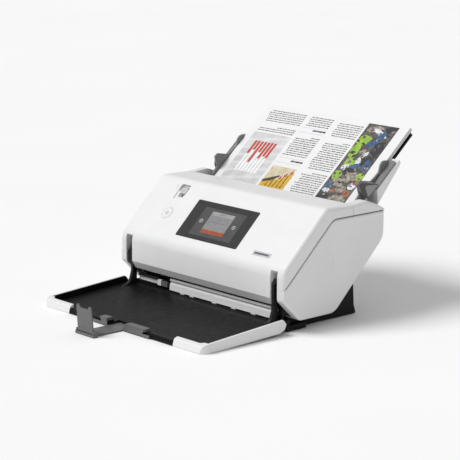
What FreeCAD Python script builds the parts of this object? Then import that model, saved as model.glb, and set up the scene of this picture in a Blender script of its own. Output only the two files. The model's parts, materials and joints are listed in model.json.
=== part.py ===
"""Sheet-fed document scanner built from separate pieces, in millimetres.

Drawing frame: X runs to the right from the centre plane, Y runs back from just
before the front cover, and Z runs up from the table. Every piece is moved by
-DEPTH_CENTRE along Y when it is written, so that the row's origin lies on the
table under the middle of the whole object.
"""
import FreeCAD, Part
import math
import os
from FreeCAD import Vector

# Driving dimensions
BODY_HALF = 215.5
WALL = 2.5
SEAM = 0.8
FACE_Y = 2.5
FACE_SLOPE = 43.9
PATH_SLOPE = 39.0
STACK_SLOPE = 40.75
STACK_HALF = 182.0
STACK_LENGTH = 257.0
STACK_THICK = 7.0
TRAY_SLOPE = 3.86
MID_HALF = 182.3
SLOT_OUTER = 199.0
FRAME_X = 178.0
PLATE = 2.0
COVER_PIVOT = (16.0, 60.0)
SLOT_RADIUS = 41.5
TRAY_PIVOT = (-2.0, 11.5)
PIN_RADIUS = 2.5
RUN = 0.05
GAP = 0.3
DRIVE_RADIUS = 9.0
SHAFT_RADIUS = 3.0
PINCH_RADIUS = 6.0
PINCH_SHAFT = 2.0
PULLEY_RADIUS = 8.0
ROLLER_WIDTH = 16.0
ROLLER_X = (-110.0, -40.0, 40.0, 110.0)
EXIT_S = 20.0
TRANSPORT_S = 112.0
FEED_S = 146.0
SENSOR_S = (68.0, 98.0)
MOTOR_AXIS = (130.0, 68.0)
EXT_X = -8.0
EXT_HALF = 20.5
EXT_FRONT = -237.0
BAR_DEPTH = 4.0
STOPPER_PIVOT = (EXT_FRONT, 7.4)
STOPPER_LEAN = 4.0
GUIDE_X = 182.6
PINION_V = 128.0
RACK_MODULE = 1.5
PINION_TEETH = 10
MOUTH_HALF = 197.0
BASE_HALF = 188.0
TRAY_HALF = 213.3
TRAY_INNER = 205.0
PANEL_HALF = 79.65
SCREEN_X = (-51.2, 56.2)
SCREEN_S = (8.0, 68.7)
LEVER_X = (-146.3, -122.2)
LEVER_S = (71.0, 104.0)
LEVER_MID = sum(LEVER_X) / 2
BUTTON_AT = (-135.0, 39.0)
SIDE_PLUG_AT = (104.5, 110.8)
SIDE_PLUG_RADIUS = 11.8
POWER_SOCKET_AT = (150.0, 158.0)
SCREW_S = 74.0
SCREW_X = (-130.0, 0.0, 130.0)
EXIT_GUIDE_LEFT = -91.0

# Outlines across the machine, as (y, z, corner radius), counter-clockwise
LOWER_UNIT = [
    (FACE_Y, 75.0), (FACE_Y, 57.0, 10), (41.0, 19.5, 14), (123.0, 19.5, 30),
    (240.0, 134.4, 30), (240.0, 182.0), (116.2, 182.0, 22),
]
UPPER_UNIT = [
    (FACE_Y, 75.0 + SEAM), (116.5, 182.8, 22), (163.5, 182.8),
    (163.5, 201.4), (101.3, 203.2, 14), (FACE_Y, 108.3, 30),
]
REAR_TOP = [
    (164.3, 182.8), (240.0, 182.8), (240.0, 185.5), (226.0, 193.0, 14),
    (196.0, 204.3, 20), (164.3, 201.6),
]


def frame(y, z, slope):
    """A plane across the machine: local x is X, local y climbs to the back, local z is up."""
    return FreeCAD.Placement(Vector(0, y, z), FreeCAD.Rotation(Vector(1, 0, 0), slope))


FLAT = FreeCAD.Placement()
SIDE = FreeCAD.Placement(Vector(), FreeCAD.Rotation(Vector(1, 1, 1), 120))
FACE = frame(17.6, 122.8, FACE_SLOPE)
PATH = frame(22.0, 37.0, PATH_SLOPE)
STACK = frame(147.0, 138.1, STACK_SLOPE)
OUT = frame(0.0, 16.7, TRAY_SLOPE)
REAR_SLOPE = frame(143.6, 39.7, 44.5)
SHEET_LIFT = 0.1
DEPTH_CENTRE = (EXT_FRONT - BAR_DEPTH + STACK.multVec(Vector(0, STACK_LENGTH, SHEET_LIFT)).y) / 2


def on(place, y, z):
    """The (y, z) in the drawing frame of a point given along and above a plane."""
    point = place.multVec(Vector(0, y, z))
    return point.y, point.z


def corner(points, index):
    """Start, middle and end of the tangent arc at one corner of an outline."""
    here = Vector(points[index][0], points[index][1], 0)
    radius = points[index][2] if len(points[index]) > 2 else 0
    last = points[index - 1]
    following = points[(index + 1) % len(points)]
    back = (Vector(last[0], last[1], 0) - here).normalize()
    ahead = (Vector(following[0], following[1], 0) - here).normalize()
    half = back.getAngle(ahead) / 2
    if radius <= 0:
        return here, None, here
    inward = (back + ahead).normalize()
    reach = radius / math.tan(half)
    middle = here + inward * (radius / math.sin(half) - radius)
    return here + back * reach, middle, here + ahead * reach


def outline(points):
    """Closed wire through (x, y, radius) corners, each rounded by a tangent arc."""
    arcs = [corner(points, index) for index in range(len(points))]
    edges = []
    for index, (start, middle, end) in enumerate(arcs):
        before = arcs[index - 1][2]
        if before.distanceToPoint(start) > 1e-6:
            edges.append(Part.LineSegment(before, start).toShape())
        if middle is not None:
            edges.append(Part.Arc(start, middle, end).toShape())
    return Part.Wire(edges)


def prism(points, low, high, place=SIDE):
    """A solid of one outline between two levels of its plane. SIDE levels are X."""
    solid = Part.Face(outline(points)).extrude(Vector(0, 0, high - low))
    solid.translate(Vector(0, 0, low))
    solid.Placement = place.multiply(solid.Placement)
    return solid


def inset(points, *distances):
    """An outline moved inwards, by one distance or by one for each side in order."""
    count = len(points)
    steps = distances if len(distances) > 1 else distances * count
    lines = []
    for index in range(count):
        a = Vector(points[index][0], points[index][1], 0)
        b = Vector(points[(index + 1) % count][0], points[(index + 1) % count][1], 0)
        along = (b - a).normalize()
        lines.append((a + Vector(-along.y, along.x, 0) * steps[index], along))
    moved = []
    for index in range(count):
        (a, u), (b, v) = lines[index - 1], lines[index]
        cross = u.x * v.y - u.y * v.x
        reach = ((b.x - a.x) * v.y - (b.y - a.y) * v.x) / cross
        point = a + u * reach
        radius = points[index][2] if len(points[index]) > 2 else 0
        change = steps[index] if cross > 0 else -steps[index]
        moved.append((point.x, point.y, max(radius - change, 0) if radius else 0))
    return moved


def box(place, x, y, z, radius=0):
    """A block between pairs of x, y and z in a plane, with rounded upright corners."""
    points = [(x[0], y[0], radius), (x[1], y[0], radius), (x[1], y[1], radius), (x[0], y[1], radius)]
    return prism(points, z[0], z[1], place)


def rod(at, radius, x):
    """A round bar along X about a (y, z) axis."""
    return Part.makeCylinder(radius, x[1] - x[0], Vector(x[0], at[0], at[1]), Vector(1, 0, 0))


def tube(at, outer, inner, x):
    return rod(at, outer, x).cut(rod(at, inner, (x[0] - 1, x[1] + 1)))


def join(shapes):
    shapes = list(shapes)
    return shapes[0].fuse(shapes[1:]).removeSplitter() if len(shapes) > 1 else shapes[0]


def group(shapes):
    """Several separate solids that share one node."""
    return Part.makeCompound(list(shapes))


def both(shape):
    """A piece and its mirror image on the other side of the centre plane."""
    return [shape, mirror(shape)]


def mirror(shape):
    return shape.mirror(Vector(), Vector(1, 0, 0))


def soften(shape, radius, pick):
    """Round the edges whose middle point the test picks."""
    edges = [edge for edge in shape.Edges if pick(edge.CenterOfMass, edge)]
    return shape.makeFillet(radius, edges)


def rim(x):
    """Pick the outline edges that lie on the two side faces at plus and minus x."""
    return lambda middle, edge: abs(abs(middle.x) - x) < 1e-3


# Paper path ---------------------------------------------------------------

EXIT_AXIS = on(PATH, EXIT_S, -DRIVE_RADIUS - 0.2)
TRANSPORT_AXIS = on(PATH, TRANSPORT_S, -DRIVE_RADIUS - 0.2)
FEED_AXIS = on(PATH, FEED_S, -DRIVE_RADIUS - 0.2)
PINCH_AXES = {s: on(PATH, s, PINCH_RADIUS + 0.2) for s in (EXIT_S, TRANSPORT_S)}
SEPARATION_AXIS = on(PATH, FEED_S, DRIVE_RADIUS + 0.2)


def roller_windows(low, high, half):
    """Cutters for the roller windows of a guide plate."""
    cuts = []
    for s in (EXIT_S, TRANSPORT_S):
        for x in ROLLER_X:
            span = (x - ROLLER_WIDTH / 2 - 1.5, x + ROLLER_WIDTH / 2 + 1.5)
            cuts.append(box(PATH, span, (s - half, s + half), (low - 1, high + 1), 1))
    cuts.append(box(PATH, (-26, 26), (FEED_S - 10, FEED_S + 10), (low - 1, high + 1), 1))
    cuts.append(box(PATH, (-158.5, 158.5), SENSOR_S, (low - 1, high + 1), 1))
    return cuts


def lower_paper_guide():
    plate = box(PATH, (-177, 177), (1, 156), (-3.2, -1.2))
    return plate.cut(roller_windows(-3.2, -1.2, 9.5))


def upper_paper_guide():
    plate = box(PATH, (-171, 171), (4, 156), (1.2, 3.2))
    flange = box(PATH, (-171, 171), (4, 6), (3.2, 8))
    return join([plate, flange]).cut(roller_windows(1.2, 3.2, 7.5))


def exit_guide():
    """The pale chute that turns the sheet from the path down to the output tray."""
    chute = prism(
        [(24.0, 35.5), (22.0, 37.2), (14.5, 32.2, 3), (13.2, 21.0), (15.0, 21.0), (16.3, 31.0, 2)],
        EXIT_GUIDE_LEFT, 181)
    tabs = [box(FLAT, (x, x + 11), (13.2, 15), (18.9, 21.5)) for x in (-62, -37, 23, 73, 123)]
    return join([chute] + tabs)


def sensor(side):
    """A line-camera bar under or over the path, and its glass, both 30 mm wide."""
    low, high = (-24.0, -3.3) if side < 0 else (3.3, 24.0)
    glass = (-3.2, -1.2) if side < 0 else (1.2, 3.2)
    bar = box(PATH, (-156, 156), (SENSOR_S[0] + 2, SENSOR_S[1] - 2), (low, high), 2)
    pane = box(PATH, (-158.2, 158.2), (SENSOR_S[0] + 0.3, SENSOR_S[1] - 0.3), glass, 1)
    return bar, pane


def drive_set(at, width=ROLLER_WIDTH, places=ROLLER_X):
    """Shaft, rubber sleeves and drive pulley of one powered roller."""
    shaft = rod(at, SHAFT_RADIUS, (-182.5, 191.5))
    sleeves = group(tube(at, DRIVE_RADIUS, SHAFT_RADIUS, (x - width / 2, x + width / 2)) for x in places)
    pulley = flanged_pulley(at).cut(rod(at, SHAFT_RADIUS, (180, 195)))
    return shaft, sleeves, pulley


def flanged_pulley(at):
    """A belt pulley with a flange at each end."""
    hub = rod(at, PULLEY_RADIUS, (183.6, 190.8))
    flanges = [rod(at, PULLEY_RADIUS + 2.5, x) for x in ((182.6, 183.6), (190.8, 191.4))]
    return join([hub] + flanges)


def drive_belt():
    """The belt round the motor, exit and feed pulleys; its upper run drives the transport pulley."""
    flat = [EXIT_AXIS, MOTOR_AXIS, FEED_AXIS]

    def loop(radius):
        return [(y, z, radius) for y, z, _ in inset(flat, -radius)]

    return prism(loop(PULLEY_RADIUS + 1.6), 184.2, 190.2).cut(prism(loop(PULLEY_RADIUS + RUN), 184, 190.4))


# Lower unit ----------------------------------------------------------------

def side_panel():
    """The right-hand panel: a shallow dish that also makes the corner of the front."""
    block = prism(LOWER_UNIT, SLOT_OUTER, BODY_HALF)
    block = soften(block, 4.5, lambda middle, edge: middle.x > BODY_HALF - 1e-3)
    panel = block.cut(prism(inset(LOWER_UNIT, WALL), SLOT_OUTER - 1, BODY_HALF - WALL))
    plug = rod(SIDE_PLUG_AT, SIDE_PLUG_RADIUS + 0.2, (BODY_HALF - 0.6, BODY_HALF + 1))
    return panel.cut(plug)


def side_plug():
    """A thin disc that hides the panel's screw."""
    return rod(SIDE_PLUG_AT, SIDE_PLUG_RADIUS, (BODY_HALF - 0.6, BODY_HALF - 0.1))


def skin(region, half):
    """A piece of the lower unit's wall inside a region of the side view."""
    ring = prism(LOWER_UNIT, -half, half).cut(prism(inset(LOWER_UNIT, WALL), -half - 1, half + 1))
    return ring.common(prism(region, -half, half))


def bottom_cover():
    return skin([(30, 10), (118, 10), (118, 50), (60, 50), (41, 24), (30, 24)], 198.6)


def port_cutters():
    """Openings for the power inlet, the data socket, the lock slot and the cover screws."""
    power = Part.makeCylinder(5.2, 12, Vector(150, 232, 158), Vector(0, 1, 0))
    data = box(FLAT, (119.8, 132.2), (232, 244), (152.3, 163.7), 0)
    lock = box(FLAT, (-178, -171), (232, 244), (156, 159), 0)
    return [power, data, lock]


def rear_cover():
    region = [(118.3, 10), (260, 10), (260, 183), (232, 183), (232, 160), (118.3, 60)]
    shell = skin(region, 198.6).cut(port_cutters())
    holes = [screw_axis(x, SCREW_S, 1.9, 12) for x in SCREW_X]
    return shell.cut(holes)


def screw_axis(x, s, radius, length):
    """A round bar through the sloping rear wall, square to it."""
    foot = REAR_SLOPE.multVec(Vector(x, s, -1))
    return Part.makeCylinder(radius, length, foot, REAR_SLOPE.Rotation.multVec(Vector(0, 0, 1)))


def rear_screws():
    screws = []
    for x in SCREW_X:
        head_foot = REAR_SLOPE.multVec(Vector(x, SCREW_S, -1.9))
        up = REAR_SLOPE.Rotation.multVec(Vector(0, 0, 1))
        head = Part.makeCylinder(3.6, 1.9, head_foot, up)
        shank = Part.makeCylinder(1.8, 10, head_foot, up)
        slot = Part.makeCylinder(1.5, 1.0, head_foot, up)
        screws.append(head.fuse(shank).cut(slot).removeSplitter())
    return group(screws)


def rear_top_cover():
    """The raised shoulders beside the mouth and the strip behind it."""
    block = prism(REAR_TOP, -BODY_HALF, BODY_HALF)
    upper = lambda middle, edge: abs(abs(middle.x) - BODY_HALF) < 1e-3 and middle.z > 184.5 and middle.y > 165
    block = soften(block, 5.0, upper)
    hollow = prism(inset(REAR_TOP, -1, WALL, WALL, WALL, WALL, WALL), -BODY_HALF + WALL, BODY_HALF - WALL)
    walls = both(prism(REAR_TOP, MOUTH_HALF, MOUTH_HALF + WALL))
    shell = join([block.cut(hollow)] + walls)
    mouth = box(FLAT, (-MOUTH_HALF, MOUTH_HALF), (160, 232), (170, 220))
    return shell.cut(mouth)




def frame_plate():
    """The right-hand inner plate that holds every shaft and the cover's hinge pin."""
    plate = prism(
        [(30, 24), (118, 24, 20), (214, 118, 20), (214, 158, 5), (152, 112, 10), (44, 50),
         (30, 68, 8), (16, 68), (16, 52), (25, 52, 2), (30, 46)],
        FRAME_X, FRAME_X + PLATE)
    plate = plate.fuse(rod(COVER_PIVOT, 8, (FRAME_X, FRAME_X + PLATE))).removeSplitter()
    holes = [rod(at, 5.0, (FRAME_X - 1, FRAME_X + 4)) for at in (EXIT_AXIS, TRANSPORT_AXIS, FEED_AXIS)]
    pin = rod(COVER_PIVOT, PIN_RADIUS, (FRAME_X - 1, FRAME_X + 4))
    return plate.cut(holes + [pin])


def shaft_bushings():
    bushings = []
    for at in (EXIT_AXIS, TRANSPORT_AXIS, FEED_AXIS):
        bush = tube(at, 5.0, SHAFT_RADIUS + RUN, (FRAME_X, FRAME_X + PLATE))
        collar = tube(at, 6.2, SHAFT_RADIUS + RUN, (FRAME_X + PLATE, FRAME_X + PLATE + 0.8))
        bushings += both(join([bush, collar]))
    return group(bushings)


def lower_chassis():
    """The two frame plates and the folded steel floor between them."""
    floor = box(FLAT, (-FRAME_X, FRAME_X), (34, 116), (24.5, 26))
    flange = box(FLAT, (-FRAME_X, FRAME_X), (34, 35.5), (26, 31))
    return join(both(frame_plate()) + [floor, flange])


def feed_motor():
    return rod(MOTOR_AXIS, 17, (140, FRAME_X - 0.2))


def main_board():
    """The controller board, upright behind the sensor, with its larger parts."""
    board = box(FLAT, (-120, 120), (150, 151.6), (62, 112))
    chips = [box(FLAT, (x, x + w), (151.6, 151.6 + t), (z, z + h))
             for x, w, z, h, t in ((-90, 24, 76, 24, 3), (-20, 18, 80, 18, 2), (40, 30, 70, 12, 8),
                                   (86, 12, 92, 10, 9))]
    return join([board] + chips)


def power_inlet():
    """A round barrel socket with its centre contact."""
    ring = Part.makeCylinder(5.0, 12, Vector(150, 227.5, 158), Vector(0, 1, 0))
    bore = Part.makeCylinder(3.2, 11, Vector(150, 229.5, 158), Vector(0, 1, 0))
    contact = Part.makeCylinder(1.0, 10, Vector(150, 228.5, 158), Vector(0, 1, 0))
    return join([ring.cut(bore), contact])


def usb_port():
    """A square data socket: metal shell and tongue."""
    shell = box(FLAT, (120, 132), (226, 239.6), (152.5, 163.5))
    throat = box(FLAT, (121, 131), (228, 241), (153.5, 162.5))
    tongue = box(FLAT, (123.4, 128.6), (227, 238), (156.4, 159.6))
    return join([shell.cut(throat), tongue])


# Base ----------------------------------------------------------------------



def base_stand():
    """The black tub under the body, with a wedge at the back and two front outriggers."""
    profile = [(8, 1.5, 1), (199.5, 1.5, 1), (199.5, 5.5, 1), (195.5, 16, 6), (191.5, 86, 0),
               (123.4, 19.1, 0), (41, 19.1, 0), (16, 19.1, 0), (8, 16.5, 1)]
    tub = prism(profile, -BASE_HALF, BASE_HALF)
    room = [(22, 4.5), (193, 4.5), (189, 90), (60, 60), (22, 30)]
    tub = tub.cut(prism(room, -BASE_HALF + 3, BASE_HALF - 3))
    lap = [(y, z, r) for y, z, r in inset(LOWER_UNIT, -GAP)]
    lap_reach = prism([(36, 10), (260, 10), (260, 120), (36, 120)], -210, 210)
    tub = tub.cut(prism(lap, -BODY_HALF, BODY_HALF).common(lap_reach))
    wings = both(box(FLAT, (BASE_HALF - 0.5, 200.5), (24, 69), (1.5, 10.5), 0))
    corners = both(box(FLAT, (182.4, 201), (0, 15.4), (0, 40)))
    return join([tub] + wings).cut(corners)


def rubber_feet():
    places = [(x, y) for x in (-172, 172) for y in (32, 182)]
    return group(Part.makeCylinder(9, 1.5, Vector(x, y, 0)) for x, y in places)


def slot_post():
    """The black upright that closes the back of the right-hand front slot."""
    post = box(FLAT, (190.3, 198.3), (15.5, 19), (20, 92), 0)
    foot = box(FLAT, (190.3, 198.3), (15.5, 34), (10.5, 20), 0)
    return join([post, foot])


# Upper unit ----------------------------------------------------------------

def at_side(point):
    return abs(abs(point.x) - BODY_HALF) < 1e-3


def cover_skin():
    block = prism(UPPER_UNIT, -BODY_HALF, BODY_HALF)
    block = soften(block, 7.0, lambda middle, edge: at_side(middle) and not on_seam(middle))
    hollow = inset(UPPER_UNIT, -4, -4, WALL, WALL, WALL, WALL)
    return block.cut(prism(hollow, -BODY_HALF + WALL, BODY_HALF - WALL))


def on_seam(middle):
    """True on the sloping and level edges where the upper unit meets the lower one."""
    level = abs(middle.z - 182.8) < 0.5
    slope = abs((middle.z - 75.8) - (middle.y - FACE_Y) * 107.0 / 114.0) < 4
    rear = abs(middle.y - 163.5) < 0.5
    return level or slope or rear


def cover_lip():
    """The front cover's lower middle, which ends in the lip over the exit."""
    return prism(
        [(FACE_Y, 59.8, 1.5), (10.1, 46.4, 0.8), (12.4, 47.6, 0.8), (FACE_Y + WALL, 60.6, 1),
         (FACE_Y + WALL, 90), (FACE_Y, 90)],
        -MID_HALF, MID_HALF)


def slot_cut(radius, shift, x):
    """The space that the tray arm sweeps in the cover, with the ramp that ends it."""
    ramp = [(-4, 114.5 + shift), (-4, 40), (14, 40), (14 + shift / 2, 100 + shift)]
    return [rod(COVER_PIVOT, radius, x), prism(ramp, x[0], x[1])]


def slot_liner():
    """Walls of one front slot, cut back to the cover's own envelope."""
    low = prism([(FACE_Y, 60), (11, 48), (18, 48), (18, 76), (FACE_Y, 76)], 180.6, MID_HALF)
    high = prism(inset(UPPER_UNIT, 0.3), 180.6, SLOT_OUTER + 2)
    pocket = join(slot_cut(SLOT_RADIUS + 2, 2.5, (180.6, SLOT_OUTER + 2)))
    return join([high.common(pocket), low])


def front_cover():
    """Front and top shell of the part that opens."""
    liners = both(slot_liner())
    shell = join([cover_skin(), cover_lip()] + liners)
    for cutter in slot_cut(SLOT_RADIUS, 0, (MID_HALF, SLOT_OUTER)):
        shell = shell.cut(both(cutter))
    lever_well = box(FACE, LEVER_X, LEVER_S, (-7, 0.4), 2)
    well_x = (LEVER_X[0] - 1.5, LEVER_X[1] + 1.5)
    well_s = (LEVER_S[0] - 1.5, LEVER_S[1] + 1.5)
    well_wall = box(FACE, well_x, well_s, (-7, -1.5), 2)
    shell = join([shell, well_wall]).cut([
        box(FACE, (LEVER_X[0], LEVER_X[1]), LEVER_S, (-5.5, 30), 2),
        box(FACE, (LEVER_MID - 2.2, LEVER_MID + 2.2), (77, 99), (-12, 0), 1),
        box(FACE, (-PANEL_HALF - 0.2, PANEL_HALF + 0.2), (-0.2, 80.2), (-12, 9), 2.7),
        button_bar(12.4, -9, 9),
    ])
    return shell


def button_bar(radius, low, high):
    bar = Part.makeCylinder(radius, high - low, Vector(BUTTON_AT[0], BUTTON_AT[1], low))
    bar.Placement = FACE.multiply(bar.Placement)
    return bar


def control_panel():
    """The dark bezel with its display window."""
    plate = box(FACE, (-PANEL_HALF, PANEL_HALF), (0, 80), (-2.5, 0.9), 2.5)
    plate = soften(plate, 0.7, lambda middle, edge: on_face_level(middle, 0.9))
    window = box(FACE, SCREEN_X, SCREEN_S, (-4, 2), 0.8)
    skirt = box(FACE, (-PANEL_HALF + 2, PANEL_HALF - 2), (2, 78), (-8, -2.5), 1)
    skirt = skirt.cut(box(FACE, (-PANEL_HALF + 4, PANEL_HALF - 4), (4, 76), (-9, -2), 1))
    return join([plate, skirt]).cut(window)


def on_face_level(middle, level):
    local = FACE.inverse().multVec(middle)
    return abs(local.z - level) < 1e-3


def display_screen():
    across = (SCREEN_X[0] + 0.2, SCREEN_X[1] - 0.2)
    along = (SCREEN_S[0] + 0.2, SCREEN_S[1] - 0.2)
    return box(FACE, across, along, (-3.5, 0.8), 0.6)


def panel_board():
    return box(FACE, (-70, 70), (8, 72), (-6.2, -4.6), 1)


def label_plate():
    return box(FACE, (121.3, 163.9), (-1.6, 7.4), (0.05, 0.5), 0.6)


def power_button():
    cap = button_bar(12.0, -2.2, 0.4)
    cap = soften(cap, 0.5, lambda middle, edge: on_face_level(middle, 0.4))
    groove = button_bar(10.6, 0.15, 1).cut(button_bar(10.1, 0, 1))
    stem = button_bar(3.0, -7.5, -2.2)
    return join([cap.cut(groove), stem])


def separation_lever():
    right = LEVER_X[1] - 0.6
    knob = box(FACE, (right - 15.5, right), (84.5, 96.5), (-5.2, 1.2), 1.5)
    lip = box(FACE, (LEVER_X[0] + 0.6, right), (96.5, 98.3), (-5.2, -0.6), 0.5)
    grip = [box(FACE, (right - 12.5, right - 3), (s, s + 0.8), (0.7, 2)) for s in (87, 89.5, 92)]
    stem = box(FACE, (LEVER_MID - 2, LEVER_MID + 2), (87, 93), (-11, -5.2), 0.5)
    foot = box(FACE, (LEVER_MID - 6, LEVER_MID + 6), (86, 94), (-13, -10.5), 0.5)
    return join([knob.cut(grip), lip, stem, foot])


def upper_chassis():
    """Two steel cheeks joined by a folded plate. It carries the upper rollers."""
    cheek_path = [on(PATH, s, h) for s, h in ((16, 8.5), (156, 8.5), (156, 34), (120, 40), (30, 40), (12, 30))]
    cheek = prism([(y, z, 3) for y, z in cheek_path], 173, 176)
    cheek = cheek.fuse(rod(COVER_PIVOT, 8, (173, 176))).removeSplitter()
    cheek = cheek.cut(rod(COVER_PIVOT, PIN_RADIUS + RUN, (170, 180)))
    axes = list(PINCH_AXES.values())
    cheek = cheek.cut([rod(at, PINCH_SHAFT + RUN, (170, 180)) for at in axes])
    cheek = cheek.cut(rod(SEPARATION_AXIS, SHAFT_RADIUS + RUN, (170, 180)))
    plate = box(PATH, (-173, 173), (34, 118), (37.5, 39))
    return join(both(cheek) + [plate])


def cover_hinge_pins():
    return group(both(rod(COVER_PIVOT, PIN_RADIUS, (171.5, FRAME_X + PLATE))))


def mouth_panel():
    """The dark inner wall under the front edge of the mouth."""
    return prism(
        [(159.2, 198.4), (157.0, 198.4), (150.5, 172.0, 12),
         (139.5, 146.2), (141.2, 145.4), (152.6, 172.0, 12)],
        -171.5, 171.5)


def pinch_set(at):
    shaft = rod(at, PINCH_SHAFT, (-176.5, 176.5))
    sleeves = group(tube(at, PINCH_RADIUS, PINCH_SHAFT, (x - 8, x + 8)) for x in ROLLER_X)
    return shaft, sleeves


def separation_set():
    shaft = rod(SEPARATION_AXIS, SHAFT_RADIUS, (-176.5, 176.5))
    sleeve = tube(SEPARATION_AXIS, DRIVE_RADIUS, SHAFT_RADIUS, (-22, 22))
    return shaft, sleeve


# Output tray ---------------------------------------------------------------

TRAY_PROFILE = [(-174.0, 0.0, 2), (-157.0, 0.0, 6), (-3.4, 5.2, 4), (8.0, 10.0, 4), (12.0, 19.0, 3),
                (5.4, 27.1, 2), (-160.5, 15.9, 4), (-170.0, 13.0, 5)]
CAP_PLAN = [(139.5, -176.0), (TRAY_HALF, -176.0, 18), (TRAY_HALF, -157.0), (201.5, -157.0, 2),
            (196.0, -162.5, 2), (139.5, -162.5)]


def above_floor(low, reach=-161.5):
    """The space over the tray's floor, open at the back."""
    return box(OUT, (-TRAY_INNER, TRAY_INNER), (reach, 30), (low, 60))


def tray_cap():
    """The white right-hand front corner."""
    profile = prism(TRAY_PROFILE, 139.5, TRAY_HALF)
    cap = profile.common(box_plan(CAP_PLAN, -5, 40))
    cap = cap.cut(box(FLAT, (139.4, 206), (-168, -150), (-1, 3.0)))
    return cap


def box_plan(points, low, high):
    return prism(points, low, high, FLAT)


def tray_skirt():
    """The white strip along the right-hand side."""
    strip = prism(TRAY_PROFILE, 208.6, TRAY_HALF)
    strip = strip.cut(box(FLAT, (200, 220), (-200, -156.8), (-5, 40)))
    return soften(strip, 0.9, lambda middle, edge: middle.x > TRAY_HALF - 1e-3 and middle.z > 8)


def output_tray_pan():
    """The black floor with low walls, hollow underneath."""
    pan = prism(TRAY_PROFILE, -208.3, 208.3)
    pan = pan.cut(above_floor(0))
    rear = box(FLAT, (-183, 183), (5.0, 30), (-5, 40))
    under = prism([(-164, -1), (-18, -1), (-18, 12.2), (-164, 2.6)], -203, 203)
    low_front = box(FLAT, (-139.4, 139.4), (-180, -150), (9.6, 40))
    caps = both(box_plan([(139.3, -180), (220, -180), (220, -156.8), (201.3, -156.8), (195.9, -162.3),
                          (139.3, -162.3)], -5, 40))
    notch = box(FLAT, (EXT_X - EXT_HALF - 1, EXT_X + EXT_HALF + 1), (-180, -150), (-5, 40))
    arms = both(box(FLAT, (182.6, 190.9), (-22, 30), (-5, 60)))
    pivots = both(rod(TRAY_PIVOT, PIN_RADIUS + RUN, (176, 196)))
    grooves = [
        box(OUT, (-200, 200), (-8.5, -7.7), (-0.4, 1)),
        box(OUT, (16.4, 17.2), (-150, -8.5), (-0.4, 1)),
    ]
    return pan.cut([rear, under, low_front, notch] + caps + arms + pivots + grooves)


def extension_blocks():
    """Grey front rails, one each side of the extension: a low strip and a taller block."""
    front, back, wall_top = -176.4, -174.3, 9.8
    low, high, strip_top = 2.0, 14.5, 6.2
    inner_left = EXT_X - EXT_HALF - 1.2
    inner_right = EXT_X + EXT_HALF + 1.2
    upright = FreeCAD.Placement(Vector(0, back, 0), FreeCAD.Rotation(Vector(1, 0, 0), 90))
    blocks = []
    for inner, top_inner, top_outer, foot, end in ((inner_left, inner_left, -49, -41, -71),
                                                   (inner_right, 20, 70, 61, 82)):
        points = [(foot, low), (inner, low), (top_inner, high), (top_outer, high)]
        if end > 0:
            points = points[::-1]
        block = prism(points, 0, back - front, upright)
        strip = box(FLAT, (min(inner, end), max(inner, end)), (front, back), (low, strip_top), 0.6)
        top = (min(top_inner, top_outer), max(top_inner, top_outer))
        cap = box(FLAT, top, (back - 0.5, -163), (wall_top, high))
        blocks.append(join([block, strip, cap]))
    return group(blocks)


def output_extension():
    """A flat slide with a thick front bar that holds the stopper's pin."""
    left, right = EXT_X - EXT_HALF, EXT_X + EXT_HALF
    bar_back = EXT_FRONT + 6
    thick_back = EXT_FRONT + 21
    plate = box(FLAT, (left, right), (bar_back, -112), (1.0, 2.5))
    edges = [box(FLAT, span, (bar_back, thick_back), (1.0, 4.6))
             for span in ((left, left + 3), (right - 3, right))]
    top = box(FLAT, (left, right), (bar_back, thick_back), (3.4, 4.6))
    bar = box(FLAT, (EXT_X - 25, EXT_X + 25), (EXT_FRONT - BAR_DEPTH, bar_back), (0.4, 5.0), 1.5)
    ears = [box(FLAT, (x, x + 3), (EXT_FRONT - 2.5, EXT_FRONT + 3), (5.0, 9.5))
            for x in (EXT_X - 24, EXT_X + 21)]
    pin = rod(STOPPER_PIVOT, 1.5, (EXT_X - 22, EXT_X + 22))
    return join([plate, top, bar] + edges + ears + [pin])


def stopper_flap():
    """The plate that stops the sheets, with a finger notch in its top edge."""
    plate = prism(
        [(EXT_X - 20.5, 9.6), (EXT_X + 20.5, 9.6), (EXT_X + 19.5, 52, 4), (EXT_X + 14, 52, 1.5),
         (EXT_X + 10, 46, 5), (EXT_X - 10, 46, 5), (EXT_X - 14, 52, 1.5), (EXT_X - 19.5, 52, 4)],
        0, 2.4, FreeCAD.Placement(Vector(0, EXT_FRONT + 1.2, 0), FreeCAD.Rotation(Vector(1, 0, 0), 90)))
    knuckle = tube(STOPPER_PIVOT, 2.3, 1.5 + RUN, (EXT_X - 20.5, EXT_X + 20.5))
    web = box(FLAT, (EXT_X - 20.5, EXT_X + 20.5), (EXT_FRONT - 1.2, EXT_FRONT + 1.2), (9.2, 10.5))
    blade = join([plate, web])
    blade.rotate(Vector(0, *STOPPER_PIVOT), Vector(1, 0, 0), STOPPER_LEAN)
    return join([knuckle, blade])


def tray_arm():
    """The right-hand dark arm that hangs the tray in the front slot."""
    blade = prism(
        [(-20, 8.6, 2), (0, 6.8, 5), (8, 12, 4), (14, 24, 4), (14.5, 91.5, 1), (11.5, 92, 1.5),
         (5.0, 84, 6), (4.6, 40, 20), (-2, 20, 16), (-20, 14.2, 2)],
        183.4, 189.2)
    return blade.cut(rod(TRAY_PIVOT, PIN_RADIUS, (180, 195)))


def tray_pins():
    return group(both(rod(TRAY_PIVOT, PIN_RADIUS, (177.5, 194.5))))


# Input tray ----------------------------------------------------------------

def housing_outline(step):
    outer = [(238.6, 189.4), (291.2, 250.6), (294.4, 255.8), on(STACK, 189.0, 0), on(STACK, 118.5, 0)]
    return inset(outer, step) if step else outer


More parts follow.
